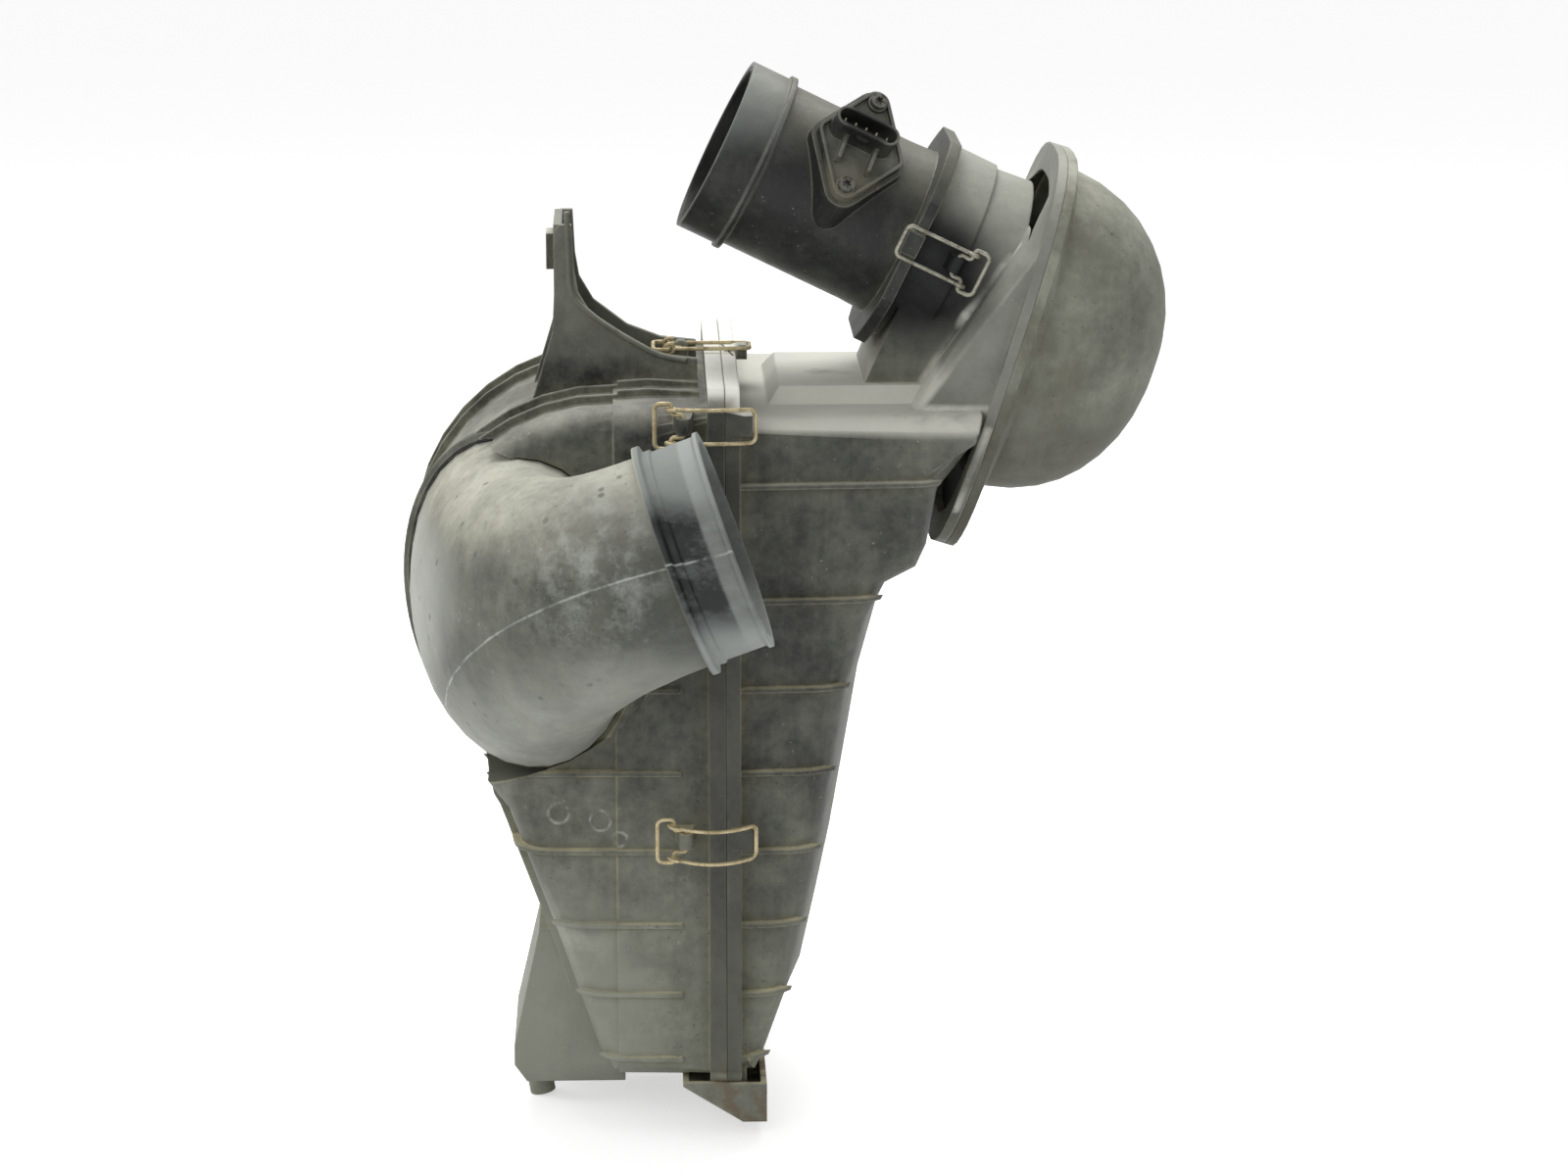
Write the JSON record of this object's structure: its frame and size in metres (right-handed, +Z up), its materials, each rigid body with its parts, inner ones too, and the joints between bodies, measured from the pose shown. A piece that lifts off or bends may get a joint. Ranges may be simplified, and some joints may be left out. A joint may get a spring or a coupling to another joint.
{
  "type": "air filter housing with intake elbow and outlet duct",
  "caption": "Engine air filter housing in two clipped halves, with an intake elbow on one side, a bracket on top, a domed outlet chamber and a sloping flow meter tube with its sensor.",
  "frame": {"origin": "outer end of the fixing hole in the bracket", "axes": "+X from the dirty half across the joint to the clean half and its dome, +Y from the elbow's side to the far side, +Z up along the height of the joint"},
  "size_m": [0.3856, 0.3311, 0.5281],
  "materials": {
    "housing_plastic": "matte",
    "elbow_plastic": "matte",
    "tube_plastic": "matte",
    "sensor_plastic": "matte",
    "nut_plastic": "matte",
    "rubber": "matte",
    "contact_metal": "satin",
    "screw_steel": "satin",
    "brass_wire": "satin",
    "dull_wire": "satin",
    "filter_paper": "matte"
  },
  "bodies": {
    "housing": {"dirty_housing": "housing_plastic", "clean_housing": "housing_plastic", "outlet_dome": "housing_plastic", "intake_elbow": "elbow_plastic", "elbow_seal": "rubber", "flow_meter_tube": "tube_plastic", "tube_seal": "rubber", "flow_sensor": "sensor_plastic", "sensor_pins": "contact_metal", "sensor_o_ring": "rubber", "sensor_screws": "screw_steel", "filter_media": "filter_paper", "filter_frame": "rubber", "bracket_clip_nut": "nut_plastic"},
    "near_low_lever": {"near_low_lever": "brass_wire"},
    "near_low_bail": {"near_low_bail": "brass_wire"},
    "near_high_lever": {"near_high_lever": "brass_wire"},
    "near_high_bail": {"near_high_bail": "brass_wire"},
    "far_low_lever": {"far_low_lever": "brass_wire"},
    "far_low_bail": {"far_low_bail": "brass_wire"},
    "far_high_lever": {"far_high_lever": "brass_wire"},
    "far_high_bail": {"far_high_bail": "brass_wire"},
    "top_lever": {"top_lever": "brass_wire"},
    "top_bail": {"top_bail": "brass_wire"},
    "duct_near_lever": {"duct_near_lever": "dull_wire"},
    "duct_near_bail": {"duct_near_bail": "dull_wire"},
    "duct_far_lever": {"duct_far_lever": "dull_wire"},
    "duct_far_bail": {"duct_far_bail": "dull_wire"}
  },
  "joints": [
    {"name": "near_low_lever_swing", "type": "hinge", "parent": "housing", "child": "near_low_lever", "pos_m": [0.067, -0.112, -0.276], "axis": [0, 0, 1], "range_deg": [0, 120]},
    {"name": "near_low_bail_swing", "type": "hinge", "parent": "near_low_lever", "child": "near_low_bail", "pos_m": [0.061, -0.112, -0.276], "axis": [0, 0, -1], "range_deg": [0, 150]},
    {"name": "near_high_lever_swing", "type": "hinge", "parent": "housing", "child": "near_high_lever", "pos_m": [0.067, -0.112, -0.068], "axis": [0, 0, 1], "range_deg": [0, 120]},
    {"name": "near_high_bail_swing", "type": "hinge", "parent": "near_high_lever", "child": "near_high_bail", "pos_m": [0.061, -0.112, -0.068], "axis": [0, 0, -1], "range_deg": [0, 150]},
    {"name": "far_low_lever_swing", "type": "hinge", "parent": "housing", "child": "far_low_lever", "pos_m": [0.067, 0.102, -0.316], "axis": [0, 0, -1], "range_deg": [0, 120]},
    {"name": "far_low_bail_swing", "type": "hinge", "parent": "far_low_lever", "child": "far_low_bail", "pos_m": [0.061, 0.102, -0.316], "axis": [0, 0, 1], "range_deg": [0, 150]},
    {"name": "far_high_lever_swing", "type": "hinge", "parent": "housing", "child": "far_high_lever", "pos_m": [0.067, 0.102, -0.136], "axis": [0, 0, -1], "range_deg": [0, 120]},
    {"name": "far_high_bail_swing", "type": "hinge", "parent": "far_high_lever", "child": "far_high_bail", "pos_m": [0.061, 0.102, -0.136], "axis": [0, 0, 1], "range_deg": [0, 150]},
    {"name": "top_lever_swing", "type": "hinge", "parent": "housing", "child": "top_lever", "pos_m": [0.067, 0, -0.05], "axis": [0, 1, 0], "range_deg": [0, 120]},
    {"name": "top_bail_swing", "type": "hinge", "parent": "top_lever", "child": "top_bail", "pos_m": [0.061, 0, -0.05], "axis": [0, -1, 0], "range_deg": [0, 150]},
    {"name": "duct_near_lever_swing", "type": "hinge", "parent": "housing", "child": "duct_near_lever", "pos_m": [0.20073, -0.0615, 0.00097], "axis": [-0.4384, 0, -0.8988], "range_deg": [0, 120]},
    {"name": "duct_near_bail_swing", "type": "hinge", "parent": "duct_near_lever", "child": "duct_near_bail", "pos_m": [0.20612, -0.0615, -0.00166], "axis": [0.4384, 0, 0.8988], "range_deg": [0, 150]},
    {"name": "duct_far_lever_swing", "type": "hinge", "parent": "housing", "child": "duct_far_lever", "pos_m": [0.20073, 0.0515, 0.00097], "axis": [0.4384, 0, 0.8988], "range_deg": [0, 120]},
    {"name": "duct_far_bail_swing", "type": "hinge", "parent": "duct_far_lever", "child": "duct_far_bail", "pos_m": [0.20612, 0.0515, -0.00166], "axis": [-0.4384, 0, -0.8988], "range_deg": [0, 150]}
  ],
  "couplings": [
    {"joint": "near_low_bail_swing", "follows": "near_low_lever_swing", "ratio": 1.25},
    {"joint": "near_high_bail_swing", "follows": "near_high_lever_swing", "ratio": 1.25},
    {"joint": "far_low_bail_swing", "follows": "far_low_lever_swing", "ratio": 1.25},
    {"joint": "far_high_bail_swing", "follows": "far_high_lever_swing", "ratio": 1.25},
    {"joint": "top_bail_swing", "follows": "top_lever_swing", "ratio": 1.25},
    {"joint": "duct_near_bail_swing", "follows": "duct_near_lever_swing", "ratio": 1.25},
    {"joint": "duct_far_bail_swing", "follows": "duct_far_lever_swing", "ratio": 1.25}
  ]
}
